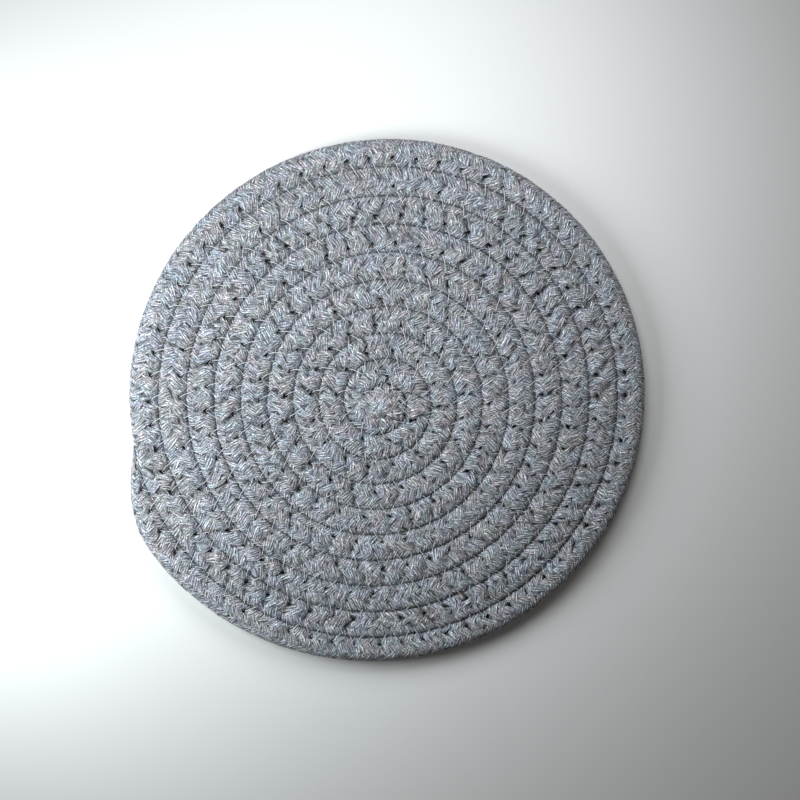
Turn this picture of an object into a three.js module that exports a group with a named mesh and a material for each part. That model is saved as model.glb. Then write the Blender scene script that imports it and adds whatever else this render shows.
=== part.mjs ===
// A round table pad: one length of plaited cotton cord, coiled flat and sewn turn to turn.
// Millimetres, +Z up. The pad lies on z = 0 and the middle of its box is at x = 0, y = 0.
// The coil is followed inwards from the cord's outer end, so turn 0 is that end and the
// last turn is the start of the cord at the middle. Seen from above, this way in is
// anticlockwise.

import * as THREE from 'three';

// Driving dimensions of the coil
const endRadius = 95.0; // outer edge's distance from the middle, at the cord's outer end
const turns = 10.5; // turns from the outer end to the middle
const slack = 1.92; // how far the half-way turns lie inside an evenly spaced coil
const endDirection = 188.6; // degrees from +X, where the outer end lies

// The coil isn't quite round. Each line is a radius added at the rim: how much, in which
// direction (degrees from +X), over how many bulges, and how fast it fades towards the middle.
const unevenness = [
  { amount: 3.4, direction: 50, bulges: 1, fade: 2 }, // wound off centre
  { amount: 1.05, direction: 39, bulges: 2, fade: 2 }, // slightly oval
  { amount: 1.25, direction: -11, bulges: 2, fade: 8 }, // outer turn a little slack at two sides
];

// Driving dimensions of the cord
const thickness = 8.0; // from the surface it lies on to the crown
const grooveTop = 5.7; // height of the groove between turns, and of the rim's upper edge
const grooveBottom = 2.3; // the same on the underside
const tailLength = 0.066; // turns over which the outer end narrows into the turn beside it
const tailBluntness = 1.2; // how the tail narrows: 1 is a round tip, 2 a drawn-out one
const tailFlatness = 0.6; // how fast the narrowing tail also loses height
const stubLength = 0.7; // turns before the middle in which the groove closes up

// Points across one turn, from its outer groove to its inner one. Share is the way across,
// and drop is how far the point lies below the crown, or above the floor, as a share of the
// groove's depth.
const upperPoints = [
  { share: 0.15, drop: 0.27 },
  { share: 0.35, drop: 0 },
  { share: 0.65, drop: 0 },
  { share: 0.85, drop: 0.27 },
];
const lowerPoints = [
  { share: 0.2, drop: 0 },
  { share: 0.8, drop: 0 },
];

// Each turn has a few close steps where the tail narrows, then even ones
const tailSteps = [0, 0.17, 0.34, 0.51, 0.68, 0.84, 1];
const evenSteps = 45;

const stepsInTurn = tailSteps.map((step) => step * tailLength);
for (let step = 1; step < evenSteps; step += 1) {
  stepsInTurn.push(tailLength + ((1 - tailLength) * step) / evenSteps);
}

// The turn at each row across the cord, up to the last one that clears the middle
const perTurn = stepsInTurn.length;
const middleClearance = 0.01;

const rows = [];
for (let whole = 0; whole < turns; whole += 1) {
  const turnsHere = stepsInTurn.map((step) => whole + step);
  rows.push(...turnsHere.filter((turn) => turn < turns - middleClearance));
}

// Radius of the edge that is this many turns in from the outer end
function edgeRadius(turn, angle) {
  const inward = Math.min(turn / turns, 1);
  let radius = endRadius * (1 - inward) - 4 * slack * inward * (1 - inward);
  for (const { amount, direction, bulges, fade } of unevenness) {
    const turned = angle - THREE.MathUtils.degToRad(direction);
    radius += amount * Math.cos(bulges * turned) * (1 - inward) ** fade;
  }
  return Math.max(radius, 0);
}

function angleAt(turn) {
  return THREE.MathUtils.degToRad(endDirection) + turn * 2 * Math.PI;
}

// 1 along the coil, falling to 0 at the tip of the tail
function fullness(turn) {
  return Math.sin((Math.min(turn / tailLength, 1) * Math.PI) / 2) ** tailBluntness;
}

// 1 along the coil, falling to 0 where the groove has closed up at the middle
function grooveShare(turn) {
  return Math.min((turns - turn) / stubLength, 1) ** 2;
}

// The edge's place seen from above; along the tail it draws in to the next turn
function edgePoint(turn) {
  const angle = angleAt(turn);
  const inner = edgeRadius(turn + 1, angle);
  const outer = edgeRadius(turn, angle);
  const radius = turn < tailLength ? inner + (outer - inner) * fullness(turn) : outer;
  return new THREE.Vector2(radius * Math.cos(angle), radius * Math.sin(angle));
}

const corners = [];
const faces = [];

function addCorner(place, height) {
  corners.push(place.x, place.y, height);
  return corners.length / 3 - 1;
}

// Both surfaces share the coil's edge: an upper and a lower corner at each row. The tail's
// tip is the same corner as the edge one turn further in.
const middle = new THREE.Vector2(0, 0);
const upper = { height: thickness, groove: grooveTop, points: upperPoints, edge: [] };
const lower = { height: 0, groove: grooveBottom, points: lowerPoints, edge: [] };

function grooveHeight(surface, turn) {
  return surface.height + (surface.groove - surface.height) * grooveShare(turn);
}

for (const surface of [upper, lower]) {
  rows.forEach((turn, row) => {
    const corner = row === 0 ? -1 : addCorner(edgePoint(turn), grooveHeight(surface, turn));
    surface.edge.push(corner);
  });
  surface.edge[0] = surface.edge[perTurn];
  surface.middle = addCorner(middle, surface.height);
}

// The corners across one turn at a row, from the outer edge to the inner one
function rowAcross(surface, row) {
  const innerRow = row + perTurn;
  const outer = surface.edge[row];
  const inner = innerRow < rows.length ? surface.edge[innerRow] : surface.middle;
  if (row === 0) {
    return [outer, ...surface.points.map(() => outer), outer];
  }
  const from = new THREE.Vector2(corners[3 * outer], corners[3 * outer + 1]);
  const to = new THREE.Vector2(corners[3 * inner], corners[3 * inner + 1]);
  const flat = fullness(rows[row]) ** tailFlatness;
  const across = surface.points.map(({ share, drop }) => {
    const nearest = share < 0.5 ? outer : inner;
    const groove = corners[3 * nearest + 2];
    const height = groove + (surface.height - groove) * (1 - drop) * flat;
    return addCorner(from.clone().lerp(to, share), height);
  });
  return [outer, ...across, inner];
}

function addFace(a, b, c) {
  if (a !== b && b !== c && c !== a) {
    faces.push(a, b, c);
  }
}

function addStrip(first, second, facingUp) {
  for (let k = 0; k + 1 < first.length; k += 1) {
    const [a, b, c, d] = [first[k], first[k + 1], second[k + 1], second[k]];
    if (facingUp) {
      addFace(a, c, b);
      addFace(a, d, c);
    } else {
      addFace(a, b, c);
      addFace(a, c, d);
    }
  }
}

for (const surface of [upper, lower]) {
  const across = rows.map((turn, row) => rowAcross(surface, row));
  across.push(across[0].map(() => surface.middle));
  for (let row = 0; row + 1 < across.length; row += 1) {
    addStrip(across[row], across[row + 1], surface === upper);
  }
}

// The free rim of the outermost turn
for (let row = 0; row < perTurn; row += 1) {
  addStrip([upper.edge[row], lower.edge[row]], [upper.edge[row + 1], lower.edge[row + 1]], false);
}

const geometry = new THREE.BufferGeometry();
geometry.setAttribute('position', new THREE.Float32BufferAttribute(corners, 3));
geometry.setIndex(faces);
geometry.computeVertexNormals();
geometry.computeBoundingBox();
const boxCentre = geometry.boundingBox.getCenter(new THREE.Vector3());
geometry.translate(-boxCentre.x, -boxCentre.y, 0);

const greyCotton = new THREE.MeshStandardMaterial({
  color: 0x868b91,
  roughness: 0.95,
  metalness: 0,
});

const coiledCord = new THREE.Mesh(geometry, greyCotton);
coiledCord.name = 'coiled_cord';

const pad = new THREE.Group();
pad.add(coiledCord);

export default pad;
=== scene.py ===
"""A round coaster: one length of plaited grey cotton cord, coiled flat and sewn turn to turn.

Metres, +Z up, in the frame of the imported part: the coaster lies on z = 0, and the middle of its
box is at x = 0, y = 0. The coil is followed inwards from the cord's outer end, so turn 0 is that
end, and the last turn is the start of the cord at the middle. Seen from above, this way in is
anticlockwise. A share is a part of the way round the cord: 0 is its crown, 0.25 its side away
from the middle, and 0.5 its underside.
"""

import math
from collections import namedtuple

import bpy
import numpy as np
from mathutils import Matrix, Vector


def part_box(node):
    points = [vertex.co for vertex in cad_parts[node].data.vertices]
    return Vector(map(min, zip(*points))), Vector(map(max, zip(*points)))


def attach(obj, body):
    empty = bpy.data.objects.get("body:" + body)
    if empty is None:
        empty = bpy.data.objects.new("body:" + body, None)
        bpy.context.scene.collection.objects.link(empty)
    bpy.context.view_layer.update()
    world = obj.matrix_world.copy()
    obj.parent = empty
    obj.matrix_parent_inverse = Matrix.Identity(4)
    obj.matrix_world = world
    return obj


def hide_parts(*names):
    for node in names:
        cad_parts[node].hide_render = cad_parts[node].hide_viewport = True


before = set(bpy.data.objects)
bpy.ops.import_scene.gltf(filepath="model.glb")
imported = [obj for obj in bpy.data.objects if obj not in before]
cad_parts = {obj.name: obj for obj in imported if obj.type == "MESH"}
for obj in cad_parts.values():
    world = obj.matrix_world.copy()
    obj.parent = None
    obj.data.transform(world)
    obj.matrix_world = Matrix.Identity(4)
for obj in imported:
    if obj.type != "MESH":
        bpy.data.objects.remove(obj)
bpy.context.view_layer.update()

# The cord's core: soft cotton filling, coiled flat from the middle outwards, which the plait
# lies on. Each turn is pressed against the one inside it and pulled down where it is sewn. It
# is seen only at the bottom of the needle holes and of the gaps between strands, and its dark
# colour is painted shade there.

MM = 0.001
END_RADIUS = 95.0 * MM  # outer edge's distance from the middle, at the cord's outer end
TURNS = 10.5  # turns from the outer end to the middle
SLACK = 1.92 * MM  # how far the half-way turns lie inside an evenly spaced coil
END_DIRECTION = math.radians(188.6)  # where the outer end lies, from +X
UNEVENNESS = (
    # amount, direction, bulges round the coil, how fast it fades towards the middle
    (3.4 * MM, math.radians(50), 1, 2),  # wound off centre
    (1.05 * MM, math.radians(39), 2, 2),  # slightly oval
    (1.25 * MM, math.radians(-11), 2, 8),  # outer turn a little slack at two sides
)
TAIL_LENGTH = 0.066  # turns over which the outer end narrows into the turn beside it
TAIL_BLUNTNESS = 1.2  # how the tail narrows: 1 is a round tip, 2 a drawn-out one
STUB_LENGTH = 0.7  # turns before the middle in which the groove closes up
RIM_POINTS = 7201  # at which the rim is measured


def edge_radius(turn, angle):
    """Distance from the middle of the groove that lies this many turns in from the outer end."""
    inward = np.clip(turn / TURNS, 0, 1)
    radius = END_RADIUS * (1 - inward) - 4 * SLACK * inward * (1 - inward)
    for amount, direction, bulges, fade in UNEVENNESS:
        radius = radius + amount * np.cos(bulges * (angle - direction)) * (1 - inward) ** fade
    return radius


def angle_at(turn):
    return END_DIRECTION + turn * 2 * math.pi


def fullness(turn):
    """1 along the coil, falling to 0 at the tip of the tail."""
    along = np.clip(turn / TAIL_LENGTH, 0, 1)
    return np.sin(along * math.pi / 2) ** TAIL_BLUNTNESS


def groove_openness(turn):
    """1 along the coil, falling to 0 where the groove has closed up at the middle."""
    return np.clip((TURNS - turn) / STUB_LENGTH, 0, 1) ** 2


def edges_at(turn):
    """Radius of the inner and of the outer side of the cord."""
    angle = angle_at(turn)
    inner = edge_radius(turn + 1, angle)
    outer = inner + (edge_radius(turn, angle) - inner) * fullness(turn)
    return inner, outer


def length_along(steps):
    """Length from a line's start to each of its points, from those of its steps."""
    return np.concatenate([[0], np.cumsum(steps)])


def length_wound(turns, radius):
    """Length along a line that is wound at these radii."""
    return length_along(np.diff(turns) * 2 * math.pi * (radius[1:] + radius[:-1]) / 2)


# The coil's place: the middle of its outline's box is the middle of the CAD part's box
rim = np.linspace(0, 1, RIM_POINTS)
rim_radius = edges_at(rim)[1]
rim_x, rim_y = rim_radius * np.cos(angle_at(rim)), rim_radius * np.sin(angle_at(rim))
low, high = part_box("coiled_cord")
COIL_X = (low.x + high.x) / 2 - (rim_x.min() + rim_x.max()) / 2
COIL_Y = (low.y + high.y) / 2 - (rim_y.min() + rim_y.max()) / 2

# The cord's section
THICKNESS = 8.0 * MM
HALF_HEIGHT = THICKNESS / 2
PLAIT_THICKNESS = 0.5 * MM  # from the core to the outside of the plait
TAIL_FLATNESS = 0.6  # how fast the narrowing tail also loses height
TAIL_TIP = 0.3  # height of the tail's tip, as a share of the cord's
SLIM = 3.2 * MM  # half width below which the cord's relief is shallower too
INNER_SQUARENESS = 7.0  # of the side towards the middle: 2 is an oval, more nearer to a rectangle
OUTER_SQUARENESS = 10.0
RIM_SQUARENESS = 2.7  # of the outermost turn's free side
RIM_TURNS = 1.02  # turns whose outer side is free
RIM_CHANGE = 0.04  # turns in which the free side becomes a pressed one
INNER_CAMBER = 0.208  # fall from the crown to the inner side, as a share of the half height
OUTER_CAMBER = 0.182
PRESSED = 0.16 * MM  # how far the sides of two turns are pressed into each other
SECTION_STEPS = 4000  # round a section, where it is measured
UPPER_POINTS = 801  # over its upper side
SLIMMEST = 1.2 * MM  # radius below which a length along the coil is no longer shortened


def rounded_section(outer_squareness):
    """Girth of a unit section, and its shares, places across and up, and directions outwards.

    Inside each quarter of the way round, shares are in step with the length.
    """
    round_ = np.linspace(0, 2 * math.pi, SECTION_STEPS + 1)
    power = 2 / np.where(np.sin(round_) > 0, outer_squareness, INNER_SQUARENESS)
    across = np.sign(np.sin(round_)) * np.abs(np.sin(round_)) ** power
    upward = np.sign(np.cos(round_)) * np.abs(np.cos(round_)) ** power
    upward = upward * (1 - np.where(across < 0, INNER_CAMBER, OUTER_CAMBER) * across**2)
    length = length_along(np.hypot(np.diff(across), np.diff(upward)))
    share = np.interp(length, length[:: SECTION_STEPS // 4], np.arange(5) / 4)
    lean_x, lean_z = -np.gradient(upward), np.gradient(across)
    lean_x[[0, -1]], lean_z[[0, -1]] = 0, 1
    lean = np.hypot(lean_x, lean_z)
    return length[-1], (share, across, upward, lean_x / lean, lean_z / lean)


UNIT_GIRTH, SECTION = rounded_section(OUTER_SQUARENESS)
FREE_SECTION = rounded_section(RIM_SQUARENESS)[1]


def section_at(share, section=SECTION):
    """Place across and up, and the direction outwards, at a share of the way round."""
    return np.array([np.interp(np.mod(share, 1), section[0], values) for values in section[1:]])


def share_at(across):
    """Share at which the upper side of the section is this far across."""
    upper = np.linspace(-0.25, 0.25, UPPER_POINTS)
    return np.interp(across, section_at(upper)[0], upper)


def share_above(share):
    """Share on the upper side that lies over this one, if this one isn't on the upper side."""
    share = np.mod(share + 0.5, 1) - 0.5
    return np.where(np.abs(share) > 0.25, np.sign(share) * 0.5 - share, share)


def girth_at(turn):
    """Length round the cord's core."""
    inner, outer = edges_at(turn)
    return UNIT_GIRTH * ((outer - inner) / 2 + HALF_HEIGHT) / 2


def middle_radius(turn):
    """Distance from the coil's middle of the cord's own middle line."""
    inner, outer = edges_at(turn)
    return (outer + inner) / 2


def line_radius(turn, share):
    """Distance from the coil's middle of a line along the cord's side."""
    inner, outer = edges_at(turn)
    return (outer + inner) / 2 + section_at(share)[0] * (outer - inner) / 2


def local_radius(turn, share):
    """The same radius, for turns and lengths along the coil that are worked out of each other."""
    return np.maximum(line_radius(turn, share), SLIMMEST)


# The stitches, and the two rows of needle holes that they leave in every turn
STITCH_PITCH = 7.7 * MM
LAST_STITCHED = 9.3  # turn at which the sewing starts, near the middle
PULLS_PAST = (0.002, 0.02)  # turns past the outer and the inner end in which a stitch pulls
SEWING_FADES = 0.25  # turns before the inner end in which the beads and bulges fade
GROOVE_POINTS = 6001  # at which the grooves are measured
OUTER_HOLE_ACROSS = -0.53  # needle hole outside a groove: 0 is its turn's crown, -1 the groove
INNER_HOLE_ACROSS = 0.32  # needle hole inside a groove: 1 is the groove
HOLE_WANDERS = 0.045  # how far holes lie from their even places, as a share of the pitch
PULLS = (0.6, 1.2)  # least and most that a stitch pulls, as a share of the usual
TIGHTNESS_VARIES = 0.16  # the same, of the sewing, which varies slowly along it
TIGHTNESSES = (0.45, 1.4)  # the least and the most that it comes to
TIGHTNESS_REACH = 15  # stitches over which it varies
TIGHTEST = math.radians(140)  # side of the coaster on which the sewing is drawn tightest, from +X
PULL_VARIES = 0.1  # how much tighter it is there, and looser on the side across, as a share

chance = np.random.default_rng(41)
# How many stitches a groove has had, turn by turn
groove_turns = np.linspace(0, LAST_STITCHED, GROOVE_POINTS)
groove_radius = edge_radius(groove_turns + 1, angle_at(groove_turns))
stitch_count = length_wound(groove_turns, groove_radius) / STITCH_PITCH
STITCHES = int(stitch_count[-1])
HOLES = STITCHES + 3  # drawn in each row, with a few to spare

outer_wander = chance.normal(0, HOLE_WANDERS, HOLES)
inner_wander = chance.normal(0, HOLE_WANDERS, HOLES)
tightness = chance.normal(0, 1, HOLES + TIGHTNESS_REACH - 1)
tightness = np.convolve(tightness, np.hanning(TIGHTNESS_REACH + 2)[1:-1], "valid")
tightness = 1 + TIGHTNESS_VARIES * tightness / tightness.std()
outer_pull = chance.uniform(*PULLS, HOLES) * np.clip(tightness, *TIGHTNESSES)
inner_pull = chance.uniform(*PULLS, HOLES)
stitch_angle = angle_at(np.interp(np.arange(HOLES), stitch_count, groove_turns))
side_pull = 1 + PULL_VARIES * np.cos(stitch_angle - TIGHTEST)

# Two rows of needle holes lie along each groove: one in the turn outside it, at whole stitches,
# and one in the turn inside it, half-way between them. Each row has the turns that it is further
# in, the side on which its groove lies, its offset from whole stitches, its share round the cord,
# and how far each hole wanders and how hard it pulls.
HoleRow = namedtuple("HoleRow", "turns_in, to_groove, offset, share, wander, pull")
outer_share, inner_share = float(share_at(OUTER_HOLE_ACROSS)), float(share_at(INNER_HOLE_ACROSS))
outer_row = HoleRow(0, -1, 0.0, outer_share, outer_wander, outer_pull * side_pull)
inner_row = HoleRow(1, 1, 0.5, inner_share, inner_wander, inner_pull * side_pull)


def hole_turn(row, number):
    """Turn of the cord outside the groove at which holes lie, from their numbers along it."""
    return np.interp(number + row.offset + row.wander[number], stitch_count, groove_turns)


def nearest_hole(turn, share, row):
    """Length along and round the cord from the row's nearest hole, and how hard that one pulls.

    The underside has the same holes as the top.
    """
    turn, share = np.broadcast_arrays(turn, share)
    groove_turn = turn - row.turns_in
    count = np.interp(groove_turn, groove_turns, stitch_count)
    nearest = np.clip(np.round(count - row.offset), 0, STITCHES).astype(int)
    radius = local_radius(turn, row.share)
    along = (groove_turn - hole_turn(row, nearest)) * 2 * math.pi * radius
    round_ = (share_above(share) - row.share) * girth_at(turn)
    sewn = (groove_turn > -PULLS_PAST[0]) & (groove_turn < LAST_STITCHED + PULLS_PAST[1])
    return along, round_, np.where(sewn, row.pull[nearest], 0.0)


# The beads between the stitches
BEAD_DEPTH = 1.6 * MM  # of the folds across the cord, which the stitches draw into a row of beads
BEAD_FULLNESS = 3.2  # 2 is a round bead; more is flatter, with narrower folds
BEAD_SKEW = 1.5  # 1 is an even bead; more is steeper on its clockwise side
FOLD_LEVEL = 0.4  # how far clockwise of level with a hole the other end of its fold may lie
RIM_FOLD_LEAN = 0.003  # turns by which a fold of the outermost turn leans
# Across the cord, the folds run from a hole, 0, to one of the other row, 1, and a little past
FOLD_SPAN = (-0.1, 1.2)  # where they lean; beyond that they run straight across
FOLD_DEPTHS = ((-0.9, -0.5, -0.15, 1.1, 1.5, 2.2), (0, 0.75, 1, 1, 0.6, 0))  # places, depths
# The outermost turn has no sewing on its outer side, which stays smooth
RIM_FOLD_DEPTHS = ((-0.9, -0.5, -0.15, 0.3, 1.0), (0, 0.55, 1, 0.8, 0))

# Each fold across the cord runs from a needle hole to one of the other row of the same turn,
# which lies anticlockwise of it or level with it
fold_start = hole_turn(outer_row, np.arange(STITCHES + 1))
level = np.interp(fold_start - 1, groove_turns, stitch_count) - inner_row.offset
other_hole = np.clip(np.ceil(level - FOLD_LEVEL), 0, STITCHES).astype(int)
fold_end = 1 + hole_turn(inner_row, other_hole)
fold_end = np.where(fold_start < 1, fold_start + RIM_FOLD_LEAN, fold_end)


def sewn_share(turn):
    """1 where the cord is sewn, falling to 0 where the sewing starts near the middle."""
    return np.clip((LAST_STITCHED - turn) / SEWING_FADES, 0, 1)


def bead_fall(turn, share):
    """How far the beads fall away from their tops, from 0 there to 1 in the fold between two."""
    turn, share = np.broadcast_arrays(turn, share)
    across = (share_above(share) - outer_row.share) / (inner_row.share - outer_row.share)
    leaning = np.clip(across, *FOLD_SPAN)
    count = np.interp(turn, groove_turns, stitch_count)
    circumference = 2 * math.pi * local_radius(turn, 0.0)
    behind, ahead = np.full(turn.shape, STITCH_PITCH), np.full(turn.shape, STITCH_PITCH)
    for step in range(-2, 3):
        fold = np.clip(np.round(count).astype(int) + step, 0, STITCHES)
        fold_turn = fold_start[fold] + (fold_end - fold_start)[fold] * leaning
        off = (turn - fold_turn) * circumference
        behind = np.where(off >= 0, np.minimum(behind, off), behind)
        ahead = np.where(off < 0, np.minimum(ahead, -off), ahead)
    from_fold = (ahead / (behind + ahead)) ** BEAD_SKEW
    fall = 1 - np.sqrt(np.clip(1 - np.abs(2 * from_fold - 1) ** BEAD_FULLNESS, 0, 1))
    rim_depth, depth = np.interp(across, *RIM_FOLD_DEPTHS), np.interp(across, *FOLD_DEPTHS)
    pull = np.interp(count, np.arange(HOLES), outer_row.pull)
    return fall * np.where(turn < 1, rim_depth, depth) * sewn_share(turn) * pull


# What a stitch does to the cord beside it
OUTER_HOLE_DEPTH = 0.9 * MM  # of a needle hole, below the fold
INNER_HOLE_DEPTH = 0.7 * MM
HOLE_RADIUS = 0.8 * MM
CREASE_DEPTH = 0.35 * MM  # how far a tight thread cuts into the cord
CREASE_HALF = 0.5 * MM  # half a crease's width
CREASE_LENGTH = 2.6 * MM  # from a hole to the groove
CREASE_BEGINS = 0.25  # part of that in which it reaches its depth
BULGE = 0.12 * MM  # how far the turn's inner side is drawn back at a stitch
BULGE_BETWEEN = 0.2  # how far it swells out half-way to the next, as a share of that
BULGE_NEARNESS = 4  # how closely the bulge keeps to that side


def sewn_in(turn, share):
    """How far the stitches pull the cord down; between them it swells like a row of beads."""
    lift = -BEAD_DEPTH * bead_fall(turn, share)
    for row, depth in ((outer_row, OUTER_HOLE_DEPTH), (inner_row, INNER_HOLE_DEPTH)):
        along, round_, pull = nearest_hole(turn, share, row)
        dip = np.exp(-((along / HOLE_RADIUS) ** 2) - (round_ / HOLE_RADIUS) ** 2)
        # The thread that is drawn tight runs clockwise as it goes inwards, by half a pitch in all
        to_groove = np.clip(round_ * row.to_groove / CREASE_LENGTH, 0, 1)
        off_thread = along - row.to_groove * to_groove * STITCH_PITCH / 4
        crease = np.exp(-((off_thread / CREASE_HALF) ** 2))
        crease = crease * np.minimum(to_groove / CREASE_BEGINS, 1)
        lift = lift - pull * (depth * dip + CREASE_DEPTH * crease)
    return lift


def bulge_at(turn):
    """How far the inner side of a turn is drawn in, or swells out over the turn beside it."""
    along, _, pull = nearest_hole(turn, 0.0, outer_row)
    near = 1 - np.clip(np.abs(along) / (STITCH_PITCH / 2), 0, 1)
    waist = 1 - np.sqrt(1 - near**2)
    return BULGE * (waist * pull - BULGE_BETWEEN) * sewn_share(turn)


def coil_points(turn, radius, height):
    """Points at these distances from the coil's middle, and these heights."""
    angle = angle_at(turn)
    x, y = COIL_X + radius * np.cos(angle), COIL_Y + radius * np.sin(angle)
    return np.stack([x, y, height], axis=-1)


def place(turn, share, lift):
    """Points on the cord: turns in from the outer end, share round the cord, lift off the core."""
    turn, share = np.broadcast_arrays(turn, share)
    inner, outer = edges_at(turn)
    half_width = (outer - inner) / 2
    half_height = HALF_HEIGHT * (TAIL_TIP + (1 - TAIL_TIP) * fullness(turn) ** TAIL_FLATNESS)
    slim = np.clip(half_width / SLIM, 0, 1)
    cover = PLAIT_THICKNESS * slim
    # Turns are pressed together, but nothing presses on the outermost one from outside
    pressed_section = section_at(share)
    on_rim = np.clip((RIM_TURNS - turn) / RIM_CHANGE, 0, 1)
    free = np.where(pressed_section[0] > 0, on_rim, 0)
    free_section = section_at(share, FREE_SECTION)
    across, upward, lean_x, lean_z = pressed_section * (1 - free) + free_section * free
    raised = (lift + sewn_in(turn, share)) * slim
    out = (half_width - cover + PRESSED * slim * (1 - free)) * across + raised * lean_x
    up = (half_height - cover) * upward + raised * lean_z
    # Near the middle, the grooves close up to the height of the crowns
    open_ = groove_openness(np.where(across > 0, turn, turn + 1))
    crown = half_height - cover + raised
    up = np.sign(up) * (crown - (crown - np.abs(up)) * open_)
    drawn_in = bulge_at(turn) * np.maximum(-across, 0) ** BULGE_NEARNESS
    return coil_points(turn, (outer + inner) / 2 + out + drawn_in * slim, HALF_HEIGHT + up)


def mesh_piece(name, material, points, faces, marks=None, valley=None, painted_shade=None):
    """A smooth-shaded object from arrays of points and faces, with these looks of its points.

    Marks are three values for the material. Valley says which points lie in a sharp valley, such
    as that between two yarns, and painted_shade how much painted shade each point's colour gets.
    """
    mesh = bpy.data.meshes.new(name)
    counts = np.concatenate([np.full(len(f), f.shape[1]) for f in faces])
    corners = np.concatenate([f.ravel() for f in faces]).astype(np.int32)
    starts = np.concatenate([[0], np.cumsum(counts)[:-1]]).astype(np.int32)
    mesh.vertices.add(len(points))
    mesh.vertices.foreach_set("co", points.astype(np.float32).ravel())
    mesh.loops.add(len(corners))
    mesh.loops.foreach_set("vertex_index", corners)
    mesh.polygons.add(len(counts))
    mesh.polygons.foreach_set("loop_start", starts)
    mesh.polygons.foreach_set("use_smooth", np.ones(len(counts), bool))
    mesh.update(calc_edges=True)
    if marks is not None:
        layer = mesh.attributes.new("strand", "FLOAT_VECTOR", "POINT")
        layer.data.foreach_set("vector", marks.astype(np.float32).ravel())
    if painted_shade is not None:
        layer = mesh.attributes.new("painted_shade", "FLOAT", "POINT")
        layer.data.foreach_set("value", painted_shade.astype(np.float32).ravel())
    if valley is not None:
        ends = np.empty(2 * len(mesh.edges), np.int32)
        mesh.edges.foreach_get("vertices", ends)
        sharp = mesh.attributes.new("sharp_edge", "BOOLEAN", "EDGE")
        sharp.data.foreach_set("value", valley[ends].reshape(-1, 2).all(axis=1))
    mesh.validate()
    mesh.materials.append(material)
    piece = bpy.data.objects.new(name, mesh)
    bpy.context.scene.collection.objects.link(piece)
    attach(piece, "root")
    return piece


class Cotton:
    """A new cotton material, with short ways to add and join its nodes."""

    def __init__(self, name, roughness, sheen):
        self.material = bpy.data.materials.new(name)
        self.material.use_nodes = True
        self.tree = self.material.node_tree
        self.shader = self.tree.nodes["Principled BSDF"]
        self.shader.inputs["Roughness"].default_value = roughness
        self.shader.inputs["Sheen Weight"].default_value = sheen
        self.shader.inputs["Sheen Roughness"].default_value = 0.5
        self.shader.inputs["Specular IOR Level"].default_value = 0.25

    def node(self, kind, inputs):
        """A node; each input's name or number comes with a value or the output it is joined to."""
        made = self.tree.nodes.new(kind)
        for key, value in inputs.items():
            if isinstance(value, bpy.types.NodeSocket):
                self.tree.links.new(value, made.inputs[key])
            else:
                made.inputs[key].default_value = value
        return made

    def noise(self, scale, detail, where=None, roughness=0.5):
        """Fine random marks, from 0 to 1."""
        inputs = {"Scale": scale, "Detail": detail, "Roughness": roughness}
        if where is not None:
            inputs["Vector"] = where
        return self.node("ShaderNodeTexNoise", inputs).outputs["Fac"]

    def maths(self, operation, *values):
        made = self.node("ShaderNodeMath", dict(enumerate(values)))
        made.operation = operation
        return made.outputs["Value"]

    def ramp(self, value, *stops):
        """Colours at these stops, each a value, from the least up, and a grey or a colour."""
        made = self.node("ShaderNodeValToRGB", {"Fac": value})
        elements = made.color_ramp.elements
        elements[0].position, elements[1].position = stops[0][0], stops[-1][0]
        for position, _ in stops[1:-1]:
            elements.new(position)
        for element, (_, tone) in zip(elements, stops):
            element.color = (*tone, 1) if isinstance(tone, tuple) else (tone, tone, tone, 1)
        return made.outputs["Color"]

    def product(self, colour, *others):
        """All these colours, multiplied."""
        for other in others:
            # Its inputs 0, 6 and 7 are the factor and the two colours, and output 2 a colour
            made = self.node("ShaderNodeMix", {0: 1.0, 6: colour, 7: other})
            made.data_type, made.blend_type = "RGBA", "MULTIPLY"
            colour = made.outputs[2]
        return colour

    def strand_marks(self):
        """Length along a strand and across it, in millimetres, and the strand's own number."""
        mark = self.node("ShaderNodeAttribute", {})
        mark.attribute_name = "strand"
        parts = self.node("ShaderNodeSeparateXYZ", {"Vector": mark.outputs["Vector"]})
        return parts.outputs["X"], parts.outputs["Y"], parts.outputs["Z"]

    def scaled(self, parts, scales):
        """A place from its three parts, each scaled."""
        parts = [self.maths("MULTIPLY", part, scale) for part, scale in zip(parts, scales)]
        return self.node("ShaderNodeCombineXYZ", dict(enumerate(parts))).outputs["Vector"]

    def finish(self, colour, relief, strength, depth):
        """Join the colour, and a bump of this depth, to the shader."""
        self.tree.links.new(colour, self.shader.inputs["Base Color"])
        inputs = {"Height": relief, "Strength": strength, "Distance": depth}
        bump = self.node("ShaderNodeBump", inputs)
        self.tree.links.new(bump.outputs["Normal"], self.shader.inputs["Normal"])
        return self.material


def core_cotton():
    """Plain cotton filling, coloured dark as painted shade at the bottom of needle holes and gaps.
    """
    cotton = Cotton("core_cotton", roughness=1.0, sheen=0.1)
    grain = cotton.noise(900.0, 3.0)
    greys = cotton.ramp(grain, (0.35, (0.1, 0.105, 0.115)), (0.7, (0.24, 0.25, 0.275)))
    return cotton.finish(greys, grain, 0.6, 0.2 * MM)


STEPS_IN_TURN = 480
MIDDLE_CLEARANCE = 0.01  # turns left out before the middle
CORE_DEPTH = 0.15 * MM  # of its outside under the plait's inside
CORE_HALF = HALF_HEIGHT - PLAIT_THICKNESS - CORE_DEPTH  # half its thickness at the crowns
HOLE_WELL = 1.3 * MM  # how much deeper it lies at a needle hole, and the radius of that dip
GROOVE_HALF = 0.7 * MM  # half the core's thickness along the line where two turns touch
UPPER_SHARES = np.linspace(0.22, -0.22, 7)  # from the outer side over the crown to the inner
LOWER_SHARES = np.linspace(0.28, 0.72, 5)

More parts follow.
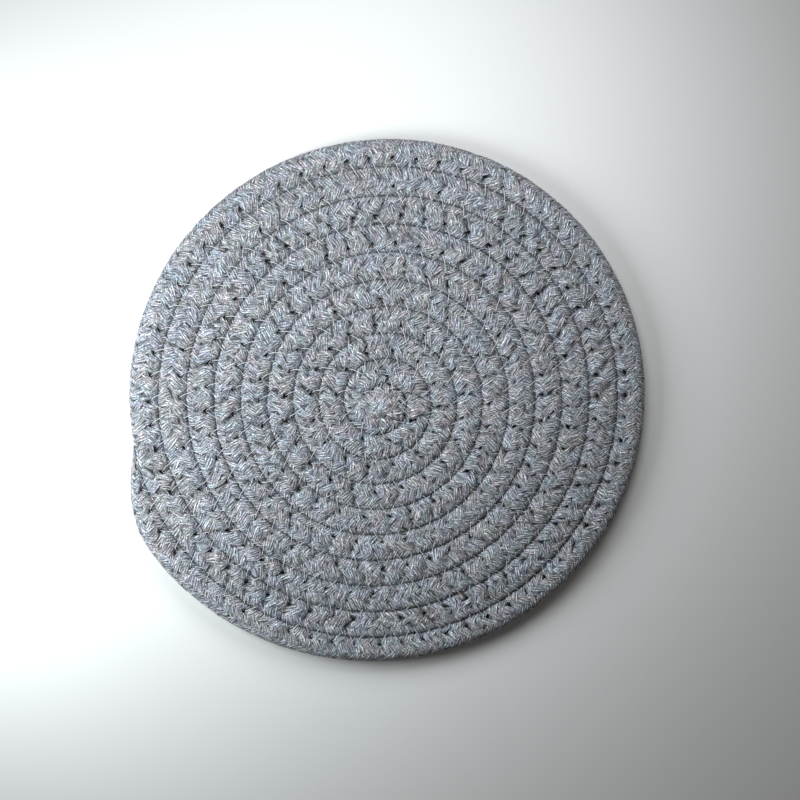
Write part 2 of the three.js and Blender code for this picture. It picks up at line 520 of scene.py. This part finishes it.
steps_on = np.arange(STEPS_IN_TURN) / STEPS_IN_TURN
core_turns = (np.arange(math.ceil(TURNS))[:, None] + steps_on).ravel()
core_turns = core_turns[core_turns < TURNS - MIDDLE_CLEARANCE]


def groove_line(side):
    """The line where neighbouring turns touch: its upper corner (side 1) or lower one (-1)."""
    radius = edges_at(core_turns)[1] - np.where(core_turns < 1, PLAIT_THICKNESS, 0)
    above = GROOVE_HALF + (CORE_HALF - GROOVE_HALF) * (1 - groove_openness(core_turns))
    return coil_points(core_turns, radius, HALF_HEIGHT + side * above)


def core_skin(side, shares):
    """Points of the upper skin (side 1) or the lower one (-1).

    First come those of the groove line, then the coil's middle, then each row across the cord.
    """
    turns = core_turns[:, None]
    along, round_, pull = nearest_hole(turns, shares, outer_row)
    well = HOLE_WELL * pull * np.exp(-(along**2 + round_**2) / HOLE_WELL**2)
    rows = place(turns, shares, -CORE_DEPTH - well)
    middle = [[COIL_X, COIL_Y, HALF_HEIGHT + side * CORE_HALF]]
    return np.concatenate([groove_line(side), middle, rows.reshape(-1, 3)])


def core_grid(shares):
    """Numbers of a skin's points, row by row, from the outer groove line to the inner one."""
    rows = len(core_turns)
    line = np.arange(rows + 1)  # the last is the middle
    line[0] = line[STEPS_IN_TURN]  # the tail's tip lies on the groove line of the next turn
    inside = rows + 1 + np.arange(rows * len(shares)).reshape(rows, -1)
    next_turn = np.minimum(np.arange(rows) + STEPS_IN_TURN, rows)
    grid = np.column_stack([line[:-1], inside, line[next_turn]])
    grid[0] = line[0]
    return np.vstack([grid, np.full(grid.shape[1], rows)])


def grid_faces(grid, flip):
    """Triangles between neighbouring rows and columns of point numbers, less any with no area."""
    a, b, c, d = grid[:-1, :-1], grid[:-1, 1:], grid[1:, 1:], grid[1:, :-1]
    faces = [np.stack(corners, axis=-1).reshape(-1, 3) for corners in ((a, d, c), (a, c, b))]
    faces = np.concatenate(faces)
    faces = faces[:, ::-1] if flip else faces
    return faces[(faces != np.roll(faces, 1, axis=1)).all(axis=1)]


def core_mesh():
    """Points and faces of one closed solid: an upper and a lower skin, and the rim between."""
    upper, lower = core_skin(1, UPPER_SHARES), core_skin(-1, LOWER_SHARES)
    upper_grid = core_grid(UPPER_SHARES)
    lower_grid = core_grid(LOWER_SHARES) + len(upper)
    outermost = slice(STEPS_IN_TURN + 1)
    rim_grid = np.column_stack([upper_grid[outermost, 0], lower_grid[outermost, 0]])
    sides = ((upper_grid, False), (lower_grid, True), (rim_grid, True))
    faces = np.concatenate([grid_faces(grid, flip) for grid, flip in sides])
    used, renumbered = np.unique(faces, return_inverse=True)
    return np.concatenate([upper, lower])[used], [renumbered.reshape(-1, 3)]


core = mesh_piece("cord_core", core_cotton(), *core_mesh())
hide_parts("coiled_cord")

# The plait: 24 strands of soft grey heather cotton, each of two yarns, plaited round the core
# three over and three under. That leaves eight ribs along the cord, in which short lengths of
# strand lie side by side and lean one way, and the other way in the next rib.

RIBS = 8
LEAN = math.radians(60)  # of a strand, from the direction of the cord
STRAND_PITCH = 1.7 * MM  # along the cord, from one strand to the next in its rib
STRAND_WIDTH = 2.05 * MM
STRAND_HALF = 0.33 * MM  # half a strand's thickness
OVERRUN = 1.5  # length of the part that shows or is just tucked in, as a share of its rib
STATIONS = np.array([-1, -0.8, -0.4, 0, 0.4, 0.8, 1])  # along a strand, from end to end
# Width and thickness at the middle station, and how much less at the ends, as shares of the mean
WIDTH_TAPER = (1.04, 0.2)
THICKNESS_TAPER = (1.02, 0.3)
# Points round a strand: across it, and up, as shares of its width and half thickness. The two
# humps are its two yarns.
ROUND = np.array([(-0.5, -0.3), (-0.2, 1), (0, 0), (0.2, 1), (0.5, -0.3)])
TUCK = 0.3 * MM  # how far a strand's ends dive under the next rib
TUCK_NEARNESS = 7  # how closely that keeps to its ends
NUMBERS = 100  # each strand's own number lies below this
FLOOR_GAP = 0.01 * MM  # of the lowest strands

# The cord turns a little about its own line as it is wound and sewn, so that its ribs wander
KNOT = 45 * MM  # length of cord between the places where its turning is drawn
TURNED = 0.04  # mean turning, as a share of the way round
WANDER = 0.03  # how much more or less it is turned at the next such place
SETTLING = 0.85  # how much of the turning is kept there
CORD_POINTS = 20001  # at which the cord is measured
SMOOTHED = 401  # points over which the turning is smoothed

cord_turns = np.linspace(0, TURNS, CORD_POINTS)
cord_length = length_along(np.diff(cord_turns) * 2 * math.pi * middle_radius(cord_turns)[1:])
turned = [0.0]
for draw in chance.normal(0, WANDER, int(cord_length[-1] / KNOT) + 2):
    turned.append(turned[-1] * SETTLING + draw)
bow = np.interp(cord_length, np.arange(len(turned)) * KNOT, turned)
window = np.hanning(SMOOTHED) / np.hanning(SMOOTHED).sum()
bow = np.convolve(np.pad(bow, SMOOTHED // 2, mode="edge"), window, "valid")


def rib_share(rib, turn):
    """Share of the way round at which the middle of a rib lies."""
    return (rib + 0.5) / RIBS + TURNED + np.interp(turn, cord_turns, bow)


# Where strands begin and end along the cord
OUTERMOST_STRAND = 0.003  # turns in from the outer end
OUTERMOST_POINT = 0.0002
INNERMOST_STRAND = 0.16  # turns before the middle
NEAREST_MIDDLE = 0.9 * MM
CROWDING = 0.75  # closest pitch of strands on the inside of a small turn, as a share
CLOSED_UP = 0.6  # openness of a groove below which its sides have no strands
RIB_POINTS = 60001  # at which a rib is measured


def rib_places(rib):
    """Turn and share of every strand in one rib, a pitch apart along its own line."""
    turns = np.linspace(OUTERMOST_STRAND, TURNS - INNERMOST_STRAND, RIB_POINTS)
    own_radius = line_radius(turns, rib_share(rib, turns))
    radius = np.minimum(middle_radius(turns), own_radius / CROWDING)
    count = length_wound(turns, radius) / STRAND_PITCH
    wanted = np.arange(0.5 + 0.5 * (rib % 2), count[-1])
    wanted = wanted + chance.normal(0, PITCH_VARIES, len(wanted))
    turn = np.interp(wanted, count, turns)
    share = rib_share(rib, turn)
    # Sides that are pressed out of being where the groove has closed up have no strands
    groove_turn = np.where(section_at(share)[0] > 0, turn, turn + 1)
    on_side = np.abs(share % 0.5 - 0.25) < 0.125
    closed = on_side & (groove_openness(groove_turn) < CLOSED_UP)
    kept = ~closed & (line_radius(turn, share) > NEAREST_MIDDLE)
    return turn[kept], share[kept]


def tapered(size, taper):
    """A strand's width or half thickness at its stations; its two ends are points."""
    middle, less = taper
    return np.where(np.abs(STATIONS) == 1, 0, size * (middle - less * STATIONS**2))


def round_the_strand(middle, size, column):
    """Values at all points of strands, from those of their middle lines and their sizes."""
    sides = np.tile(ROUND[:, column], len(STATIONS))
    return np.repeat(middle, len(ROUND), axis=1) + np.repeat(size, len(ROUND), axis=1) * sides


def closed_tubes(sides, flip, points, *looks):
    """Points, faces and looks of tubes, from those of their rings; the end rings are points."""
    last = points.shape[1] - sides
    kept = np.r_[0, sides:last, last]
    arrays = [values[:, kept].reshape(-1, *values.shape[2:]) for values in (points, *looks)]
    here, next_ = np.arange(sides), (np.arange(sides) + 1) % sides
    end = len(kept) - 1
    bands = [
        np.stack([k + here, k + sides + here, k + sides + next_, k + next_], axis=-1)
        for k in range(1, end - sides, sides)
    ]
    caps = [
        np.stack([0 * here, 1 + here, 1 + next_], axis=-1),
        np.stack([end + 0 * here, end - sides + next_, end - sides + here], axis=-1),
    ]
    first = len(kept) * np.arange(len(points))[:, None, None]
    faces = [first + np.concatenate(same)[:, :: -1 if flip else 1] for same in (bands, caps)]
    return arrays[0], [same.reshape(-1, same.shape[-1]) for same in faces], *arrays[1:]


def strand_tubes(points, along, painted_shade, flip):
    """Points, faces, marks, valleys and painted shade of strands, as mesh_piece takes them."""
    across = np.tile(ROUND[:, 0], len(STATIONS)) * STRAND_WIDTH
    number = chance.uniform(0, NUMBERS, (len(points), 1))
    marks = np.stack(np.broadcast_arrays(along / MM, across / MM, number), axis=-1)
    valley = np.broadcast_to(across == 0, along.shape)
    return closed_tubes(len(ROUND), flip, points, marks, valley, painted_shade)


# How much painted shade darkens the plait's colour in the needle holes, folds and grooves, from 0 to
# 1
HOLLOW = 2.4 * MM  # depth below the crowns at which it would be darkest
GROOVE_SHADE = 0.75  # in a groove, at most
RIM_SHADE = 0.3  # on the coaster's free rim, as a share of that at the same depth in a groove
FOLD_SHADE = 0.5  # how much darker the bottom of a fold is
FOLD_SHADE_BEGINS = 0.3  # part of a fold's depth above which it isn't darker
OUTER_HOLE_SHADE = 0.95
INNER_HOLE_SHADE = 0.65
HOLE_SHADE_RADIUS = 0.85 * MM


def painted_shade_at(points, turn, share):
    """Painted shade at a point, from how far it lies below the crowns, its needle hole and its fold:
    0 on a crown, 1 at the darkest.
    """
    depth = HALF_HEIGHT - np.abs(points[..., 2] - HALF_HEIGHT)
    on_rim = (turn < RIM_TURNS) & (section_at(share)[0] > 0)
    painted_shade = np.clip(np.where(on_rim, RIM_SHADE, 1.0) * depth / HOLLOW, 0, GROOVE_SHADE)
    for row, shade in ((outer_row, OUTER_HOLE_SHADE), (inner_row, INNER_HOLE_SHADE)):
        along, round_, pull = nearest_hole(turn, share, row)
        near = np.exp(-(along**2 + round_**2) / HOLE_SHADE_RADIUS**2)
        painted_shade = painted_shade + shade * pull * near
    in_fold = np.clip(bead_fall(turn, share) - FOLD_SHADE_BEGINS, 0, None)
    return np.clip(painted_shade + FOLD_SHADE * in_fold, 0, 1)


# How much strands vary: spread of their spacing in pitches, lean, shares of length and width,
# height, and place along their own line
PITCH_VARIES = 0.06
LEAN_VARIES = math.radians(11)
LENGTH_VARIES = 0.12
WIDTH_VARIES = 0.07
RISE_VARIES = 0.05 * MM
SLIDE_VARIES = 0.5 * MM

# Strands beside a needle hole are pushed aside and squeezed
OUTER_ROOM = 0.5 * MM  # how far a hole outside its groove pushes them, beyond part of their width
INNER_ROOM = 0.15 * MM
CLEARED = 0.4  # that part of their width
PUSH_REACH = 1.3 * MM  # length of strand that is pushed
SQUEEZE = 0.25  # how much narrower it is there, as a share
SQUEEZE_REACH = 1.2 * MM


def strands(rib):
    """Points, faces and looks of all the strands of one rib."""
    turn, share = (values[:, None] for values in rib_places(rib))
    side = 1 if rib % 2 else -1
    girth = girth_at(turn)
    lean = chance.normal(LEAN, LEAN_VARIES, turn.shape)
    ahead, aside = np.cos(lean), side * np.sin(lean)
    length = OVERRUN * girth / RIBS / np.sin(lean) * chance.normal(1, LENGTH_VARIES, turn.shape)
    width = STRAND_WIDTH * chance.normal(1, WIDTH_VARIES, turn.shape)
    rise = chance.normal(0, RISE_VARIES, turn.shape)
    slide = chance.normal(0, SLIDE_VARIES, turn.shape)

    def on_cord(along, across):
        """Turn and share of points given by their length along and across each strand."""
        there = share + (along * aside + across * ahead) / girth
        turns_on = (along * ahead - across * aside) / (2 * math.pi * local_radius(turn, there))
        return np.maximum(turn + turns_on, OUTERMOST_POINT), there

    along = length / 2 * STATIONS + slide
    across = np.zeros_like(along)
    squeeze = np.ones_like(along)
    for row, room in ((outer_row, OUTER_ROOM), (inner_row, INNER_ROOM)):
        off_along, off_round, pull = nearest_hole(*on_cord(along, across), row)
        beside = off_round * ahead - off_along * aside
        before = off_along * ahead + off_round * aside
        near = np.exp(-((before / PUSH_REACH) ** 2)) * pull
        need = width * CLEARED + room - np.abs(beside)
        across = across + np.sign(beside) * np.clip(need, 0, None) * near
        squeeze = squeeze - SQUEEZE * near * np.exp(-((beside / SQUEEZE_REACH) ** 2))

    ends = np.abs(STATIONS) ** TUCK_NEARNESS
    middle = (PLAIT_THICKNESS - STRAND_HALF) * (1 - ends) - TUCK * ends + rise
    thick = tapered(STRAND_HALF, THICKNESS_TAPER)[None, :]
    lift = round_the_strand(middle, thick, 1)
    all_along = np.repeat(along, len(ROUND), axis=1)
    all_across = round_the_strand(across, tapered(width * squeeze, WIDTH_TAPER), 0)
    at_turn, at_share = on_cord(all_along, all_across)
    points = place(at_turn, at_share, lift)
    points[..., 2] = np.maximum(points[..., 2], FLOOR_GAP)
    # Painted shade, from the depth below the crowns, the needle holes and the folds
    painted_shade = painted_shade_at(points, at_turn, at_share)
    return strand_tubes(points, all_along, painted_shade, flip=side > 0)


SECOND_YARN = 47.0  # added to a strand's number on its second yarn, so that its fibres differ
FIBRE_GREYS = (0.34, (0.04, 0.042, 0.047)), (0.5, (0.3, 0.312, 0.347)), (0.67, (0.87, 0.89, 0.965))
# Painted shade: greys that multiply the plait's colour, a little lighter on the crowns and darkest
# in the grooves, folds and needle holes
PAINTED_SHADE_GREYS = (0.05, 1.08), (0.4, 0.97), (0.75, (0.78, 0.79, 0.81)), (1.0, (0.16, 0.165, 0.18))


def heather_cotton():
    """Fibres of many greys, drawn out along the two yarns of each strand.

    Its colour is the product of the fibres' greys, three soft tints from bluish to brownish, the
    yarns' own tones, painted shade in the valley between two yarns and at a strand's edges with
    the yarns' humps painted lighter, loose fuzz and lint, and painted shade in the grooves, folds
    and needle holes, with the crowns painted a little lighter.
    """
    cotton = Cotton("heather_cotton", roughness=0.95, sheen=0.25)
    along, across, number = cotton.strand_marks()
    on_second = cotton.maths("GREATER_THAN", across, 0.0)
    yarn = cotton.maths("MULTIPLY_ADD", on_second, SECOND_YARN, number)
    off_middle = cotton.maths("ABSOLUTE", across)
    here = cotton.node("ShaderNodeTexCoord", {}).outputs["Object"]
    painted_shade = cotton.node("ShaderNodeAttribute", {})
    painted_shade.attribute_name = "painted_shade"

    def on_yarn(scales, detail, roughness=0.5):
        """Marks that are drawn out along the yarn, and different on every yarn."""
        return cotton.noise(1.0, detail, cotton.scaled((along, across, yarn), scales), roughness)

    fibres = on_yarn((0.42, 3.4, 3.1), 3.0, roughness=0.7)
    mottle = on_yarn((0.45, 0.6, 7.7), 2.0)
    tints = on_yarn((0.8, 1.6, 1.3), 1.0)
    patches = cotton.noise(170.0, 2.0, here)
    casts = cotton.noise(310.0, 1.0, here)
    curls = cotton.noise(800.0, 1.0, here)
    lint = cotton.noise(2300.0, 1.0, here)

    colour = cotton.product(
        cotton.ramp(fibres, *FIBRE_GREYS),
        cotton.ramp(tints, (0.36, (1.06, 0.995, 0.95)), (0.64, (0.95, 1.005, 1.05))),
        cotton.ramp(patches, (0.34, (1.025, 0.98, 0.93)), (0.66, (0.975, 1.02, 1.07))),
        cotton.ramp(casts, (0.38, (1.03, 0.98, 1.01)), (0.62, (0.97, 1.02, 0.99))),
        cotton.ramp(mottle, (0.34, 0.87), (0.5, 0.96), (0.66, 1.08)),
        # painted shade in the valley between the two yarns and at the strand's edges, with the
        # yarns' humps painted lighter
        cotton.ramp(off_middle, (0.0, 0.55), (0.38, 1.14), (0.76, 0.52)),
        cotton.ramp(curls, (0.46, 0.95), (0.5, 1.28), (0.54, 0.95)),
        cotton.ramp(lint, (0.37, 0.58), (0.63, 1.42)),
        # painted shade in the grooves, folds and needle holes, and a little lighter on the crowns
        cotton.ramp(painted_shade.outputs["Fac"], *PAINTED_SHADE_GREYS),
    )
    return cotton.finish(colour, fibres, 0.9, 0.15 * MM)


heather = heather_cotton()
ribs = [mesh_piece(f"plait_rib_{rib + 1}", heather, *strands(rib)) for rib in range(RIBS)]

# The start of the cord: its cut end is turned under at the middle of the coil. A few loosened
# strands of its plait cover the middle, on both sides, and are sewn down with the coil.

START_STRANDS = 44
START_REACH = 3.6 * MM  # from the middle to the farthest strand's middle
START_LENGTH = 6.0 * MM
START_HEADINGS = (0.7, -0.6)  # the two ways in which the strands lie, from +X, in radians
START_FIRST_WAY = 0.6  # share of them that lie the first way
START_HEADING_VARIES = 0.35
START_BEND_VARIES = 0.5 * MM
START_RISE = 0.25 * MM  # of their middle lines, over the crowns of the turns
START_SINK = 0.16 * MM  # of the outsides of those underneath, into the crowns
START_HEIGHTS = (-0.35 * MM, 0.15 * MM)  # the least and the most that they lie above that
START_LUMP = 0.35 * MM  # how far the soft middle is lumpy
LUMP_SIZES = (1.1 * MM, 1.3 * MM)
START_FALL = 1.5 * MM  # of the strands' ends
FALL_NEARNESS = 2.5  # how closely that keeps to the edge of the start
END_FALL_NEARNESS = 6  # and to the ends of each strand
# Painted shade on the loosened strands: darker towards the start's edge and where they lie low
START_HOLLOW = 0.9 * MM  # depth at which it would be darkest
START_DARKEST = 0.8


def vectors(heading):
    """Directions ahead and to the left of headings, seen from above."""
    sine, cosine = np.sin(heading), np.cos(heading)
    return np.stack([cosine, sine], axis=-1)[:, None], np.stack([-sine, cosine], axis=-1)[:, None]


def loose_strands(centre, heading, length, bend, height, depth, flip):
    """Points, faces and looks of strands laid flat.

    Each has a place, a heading, a length and a bend sideways. Height gives its middle line from
    the points' places and their way along it, and depth how much painted shade it gets there.
    """
    all_along = np.repeat(length[:, None] / 2 * STATIONS, len(ROUND), axis=1)
    wide = tapered(np.full((len(heading), 1), STRAND_WIDTH), WIDTH_TAPER)
    all_across = round_the_strand(bend[:, None] * (1 - STATIONS**2), wide, 0)
    ahead, aside = vectors(heading)
    level = centre[:, None] + all_along[..., None] * ahead + all_across[..., None] * aside
    way = np.repeat(STATIONS, len(ROUND))
    thick = tapered(STRAND_HALF, THICKNESS_TAPER)[None, :]
    high = height(level, way) + (-1 if flip else 1) * round_the_strand(0 * thick, thick, 1)
    points = np.concatenate([level, high[..., None]], axis=-1)
    return strand_tubes(points, all_along, depth(level), flip)


def start_strands(side):
    """The loosened strands over the middle: side is 1 on top and -1 underneath."""
    count = START_STRANDS
    reach = START_REACH * np.sqrt((np.arange(count) + 0.5) / count)
    bearing = np.arange(count) * math.pi * (3 - math.sqrt(5))  # spread evenly, as seeds in a head
    heading = np.where(chance.uniform(0, 1, count) < START_FIRST_WAY, *START_HEADINGS)
    heading = heading + chance.normal(0, START_HEADING_VARIES, count)
    length = START_LENGTH * chance.normal(1, LENGTH_VARIES, count)
    bend = chance.normal(0, START_BEND_VARIES, count)
    rise = chance.uniform(*START_HEIGHTS, count)[:, None]
    middle = np.array([COIL_X, COIL_Y])
    centre = middle + reach[:, None] * vectors(bearing)[0][:, 0]
    top = START_RISE if side > 0 else -STRAND_HALF - START_SINK

    def raised(level):
        off = (level - middle) / LUMP_SIZES
        return rise + START_LUMP * np.sin(off[..., 0]) * np.sin(off[..., 1] + 1)

    def off_middle(level):
        far = np.hypot(*np.moveaxis(level - middle, -1, 0))
        return (far / (START_REACH + START_LENGTH / 2)) ** FALL_NEARNESS

    def height(level, way):
        fall = START_FALL * (off_middle(level) + np.abs(way) ** END_FALL_NEARNESS)
        lift = top - fall + np.minimum(raised(level), START_HEIGHTS[1])
        return HALF_HEIGHT + side * (HALF_HEIGHT + lift)

    # Painted shade, darker towards the edge of the start and where the strands lie low
    def depth(level):
        return np.clip(off_middle(level) - raised(level) / START_HOLLOW, 0, START_DARKEST)

    return loose_strands(centre, heading, length, bend, height, depth, flip=side < 0)


starts = [
    mesh_piece("cord_start_top", heather, *start_strands(1)),
    mesh_piece("cord_start_underside", heather, *start_strands(-1)),
]

# The end of the cord: two smooth pale strands, drawn over the tip of the tail on top and caught
# by the last stitches, which hold the end against the turn inside it.

END_CENTRES = np.array([(-83.8, -22.4), (-84.9, -20.5)]) * MM
END_HEADINGS = np.radians([-38.0, -52.0])
END_LENGTHS = np.array([8.0, 5.5]) * MM
END_BENDS = np.array([0.5, -0.3]) * MM
END_DIP = 1.3 * MM  # of their outer ends, down the side of the tail's tip
END_DIP_NEARNESS = 3  # how closely that keeps to the outer ends
END_TUCK = 0.5 * MM  # how far both ends are tucked in
GROOVE_BESIDE = 0.97  # place across the cord past which the groove is too deep to lie on
TAUT_PASSES = 6  # in which the line is drawn up to the straight line between its neighbours


def end_strands():
    """The strands over the tail's tip, drawn taut from its side to the turn inside it."""
    ahead, aside = vectors(END_HEADINGS)
    along = (END_LENGTHS[:, None] / 2 * STATIONS)[..., None]
    across = (END_BENDS[:, None] * (1 - STATIONS**2))[..., None]
    line = END_CENTRES[:, None] + along * ahead + across * aside - np.array([COIL_X, COIL_Y])
    angle, radius = np.arctan2(line[..., 1], line[..., 0]), np.hypot(line[..., 0], line[..., 1])
    turn = np.mod((angle - END_DIRECTION) / (2 * math.pi), 1)
    turn = turn + (radius < edges_at(turn)[0])
    inner, outer = edges_at(turn)
    place_across = (2 * radius - outer - inner) / (outer - inner)
    place_across = np.clip(place_across, -GROOVE_BESIDE, GROOVE_BESIDE)
    taut = place(turn, share_at(place_across), PLAIT_THICKNESS)[..., 2]
    for _ in range(TAUT_PASSES):
        taut[:, 1:-1] = np.maximum(taut[:, 1:-1], (taut[:, :-2] + taut[:, 2:]) / 2)
    taut = taut + STRAND_HALF / 2 - END_TUCK * np.abs(STATIONS) ** TUCK_NEARNESS
    taut = taut - END_DIP * np.clip(-STATIONS, 0, 1) ** END_DIP_NEARNESS

    height = np.repeat(taut, len(ROUND), axis=1)
    sizes = (END_CENTRES, END_HEADINGS, END_LENGTHS, END_BENDS)
    return loose_strands(*sizes, lambda level, way: height, lambda level: 0 * height, flip=False)


starts.append(mesh_piece("cord_end_strands", heather, *end_strands()))

# The sewing thread: fine pale cotton, sewn in a zigzag across each groove from the middle to
# the outer end. Each leg comes out of a needle hole of one turn, bridges the groove and goes
# down in a hole of the turn beside it. The underside has the same zigzag.

THREAD_RADIUS = 0.11 * MM
THREAD_SIDES = 5
THREAD_SEED = 5  # of the numbers that make the legs' fibres differ
TIGHT_LIFT = 0.34 * MM  # of its middle line, off the plait, where it is drawn tight
SUNK_LIFT = -0.3 * MM  # the same on the way back, which lies between the plait's strands
THREAD_DIVE = 0.9 * MM  # of each end of a leg, down its needle hole
LEG_STEPS = np.array([0, 0.06, 0.2, 0.38, 0.5, 0.62, 0.8, 0.94, 1])
MIDDLE_STEP = 4  # the one over the groove


def thread_tubes(paths):
    """Points, faces and marks of closed round threads along an array of lines of points."""
    count, steps = paths.shape[:2]
    forward = np.gradient(paths, axis=1)
    forward /= np.linalg.norm(forward, axis=-1, keepdims=True)
    sideways = np.cross(forward, (0, 0, 1))
    sideways /= np.linalg.norm(sideways, axis=-1, keepdims=True)
    upward = np.cross(sideways, forward)
    turned = np.linspace(0, 2 * math.pi, THREAD_SIDES, endpoint=False)
    wheel = sideways[:, :, None] * np.cos(turned)[:, None]
    wheel = wheel + upward[:, :, None] * np.sin(turned)[:, None]
    thick = np.full(steps, THREAD_RADIUS)
    thick[[0, -1]] = 0
    points = paths[:, :, None] + wheel * thick[:, None, None]
    length = np.cumsum(np.linalg.norm(np.diff(paths, axis=1), axis=-1), axis=1)
    along = np.repeat(np.pad(length, ((0, 0), (1, 0))), THREAD_SIDES, axis=1)
    across = np.tile(turned * THREAD_RADIUS, steps)
    number = np.random.default_rng(THREAD_SEED).uniform(0, NUMBERS, (count, 1))
    marks = np.stack(np.broadcast_arrays(along / MM, across / MM, number), axis=-1)
    return closed_tubes(THREAD_SIDES, True, points.reshape(count, -1, 3), marks)


def on_plait(turn, across, under):
    """Points on the outside of the plait, on top or underneath, at a place across the cord."""
    share = share_at(across)
    return place(turn, 0.5 - share if under else share, PLAIT_THICKNESS)


def thread_legs(under):
    """Paths of all legs of the zigzag on one side of the coaster."""
    out = -1 if under else 1
    number = np.arange(1, STITCHES)
    start = hole_turn(outer_row, number)[:, None]
    # Half the legs sink between the strands, and the others show where they are drawn tight
    shown = np.sqrt(0.5 + 0.5 * np.cos(angle_at(start) - TIGHTEST))
    down, up = np.clip(LEG_STEPS / 0.5, 0, 1), np.clip((LEG_STEPS - 0.5) / 0.5, 0, 1)
    outer_across = OUTER_HOLE_ACROSS + (-GROOVE_BESIDE - OUTER_HOLE_ACROSS) * down
    inner_across = GROOVE_BESIDE + (INNER_HOLE_ACROSS - GROOVE_BESIDE) * up
    on_outer = (LEG_STEPS < 0.5)[:, None]
    paths = []
    for step, lift in ((0, SUNK_LIFT), (-1, TIGHT_LIFT)):
        end = hole_turn(inner_row, number + step)[:, None]
        turn = start + (end - start) * LEG_STEPS
        outer_points = on_plait(turn, outer_across, under)
        inner_points = on_plait(turn + 1, inner_across, under)
        line = np.where(on_outer, outer_points, inner_points)
        # It bridges the groove between the shoulders beside it
        line[:, MIDDLE_STEP] = (line[:, MIDDLE_STEP - 1] + line[:, MIDDLE_STEP + 1]) / 2
        line[..., 2] += out * (SUNK_LIFT + (lift - SUNK_LIFT) * shown)
        line[:, [0, -1], 2] -= out * THREAD_DIVE
        paths.append(line)
    paths = np.concatenate(paths)
    paths[..., 2] = np.maximum(paths[..., 2], THREAD_RADIUS)
    return paths


def pale_thread():
    """Pale twisted cotton."""
    cotton = Cotton("pale_thread", roughness=0.8, sheen=0.2)
    twist = cotton.noise(1.0, 2.0, cotton.scaled(cotton.strand_marks(), (2.0, 4.0, 1.0)))
    greys = cotton.ramp(twist, (0.3, (0.45, 0.46, 0.48)), (0.62, (0.85, 0.86, 0.88)))
    return cotton.finish(greys, twist, 0.6, 0.08 * MM)


thread = pale_thread()
threads = [
    mesh_piece("zigzag_thread_top", thread, *thread_tubes(thread_legs(under=False))),
    mesh_piece("zigzag_thread_underside", thread, *thread_tubes(thread_legs(under=True))),
]

# The whole coaster is declared as one laid sheet. It lies flat, so the size and the area that
# it was made to are those of its own outline, which the coil's rim gives.

# Floor, light and camera: a pale floor, soft daylight from the left and from behind, and the
# view of the photograph, which looks down from a little to the left of straight above.

FLOOR_REACH = 3.0
FLOOR_WHITE = (0.86, 0.86, 0.86, 1)
FLOOR_ROUGHNESS = 0.9

floor_corners = [
    (x * FLOOR_REACH, y * FLOOR_REACH, 0) for x, y in ((-1, -1), (1, -1), (1, 1), (-1, 1))
]
floor_mesh = bpy.data.meshes.new("floor")
floor_mesh.from_pydata(floor_corners, [], [(0, 1, 2, 3)])
floor = bpy.data.objects.new("floor", floor_mesh)
bpy.context.scene.collection.objects.link(floor)
paper = bpy.data.materials.new("pale_floor")
paper.use_nodes = True
paper_shader = paper.node_tree.nodes["Principled BSDF"]
paper_shader.inputs["Base Color"].default_value = FLOOR_WHITE
paper_shader.inputs["Roughness"].default_value = FLOOR_ROUGHNESS
floor.data.materials.append(paper)

WORLD_COLOUR = (1.0, 0.93, 0.85, 1)
WORLD_STRENGTH = 0.07
world = bpy.data.worlds.new("studio")
bpy.context.scene.world = world
world.use_nodes = True
world.node_tree.nodes["Background"].inputs["Color"].default_value = WORLD_COLOUR
world.node_tree.nodes["Background"].inputs["Strength"].default_value = WORLD_STRENGTH


def towards(direction, elevation):
    """Unit vector from the coaster, from a direction from +X and a height, in degrees."""
    around, up = math.radians(direction), math.radians(elevation)
    level = math.cos(up)
    return Vector((level * math.cos(around), level * math.sin(around), math.sin(up)))


LIGHTS = (
    # name, direction and height in degrees, distance, size, power, colour
    ("window", 180, 36, 0.215, 0.12, 0.485, (0.92, 0.99, 1.0)),
    ("skylight", 88, 52, 0.21, 0.13, 0.275, (0.95, 0.985, 1.0)),
)
for name, direction, elevation, distance, size, power, colour in LIGHTS:
    light = bpy.data.lights.new(name, "AREA")
    light.shape, light.size, light.energy, light.color = "SQUARE", size, power, colour
    lamp = bpy.data.objects.new(name, light)
    lamp.location = distance * towards(direction, elevation)
    lamp.rotation_euler = (-lamp.location).to_track_quat("-Z", "Y").to_euler()
    lamp.visible_camera = False
    bpy.context.scene.collection.objects.link(lamp)

CAMERA_DISTANCE = 0.500
CAMERA_DIRECTION = 158  # degrees from +X, where it stands
CAMERA_ELEVATION = 81  # degrees up
CAMERA_TARGET = Vector((2.894 * MM, 0.456 * MM, 0))
CAMERA_CLIP = (0.01, 20)
LENS = 65.2
SENSOR = 36.0
back = towards(CAMERA_DIRECTION, CAMERA_ELEVATION)
right = Vector((0, 1, 0)).cross(back).normalized()  # the picture's upright is +Y
camera = bpy.data.objects.new("camera", bpy.data.cameras.new("camera"))
camera.data.lens, camera.data.sensor_width = LENS, SENSOR
camera.data.clip_start, camera.data.clip_end = CAMERA_CLIP
camera.location = CAMERA_TARGET + back * CAMERA_DISTANCE
camera.rotation_euler = Matrix((right, back.cross(right), back)).transposed().to_euler()
bpy.context.scene.collection.objects.link(camera)
bpy.context.scene.camera = camera
bpy.context.scene.view_settings.view_transform = "Standard"
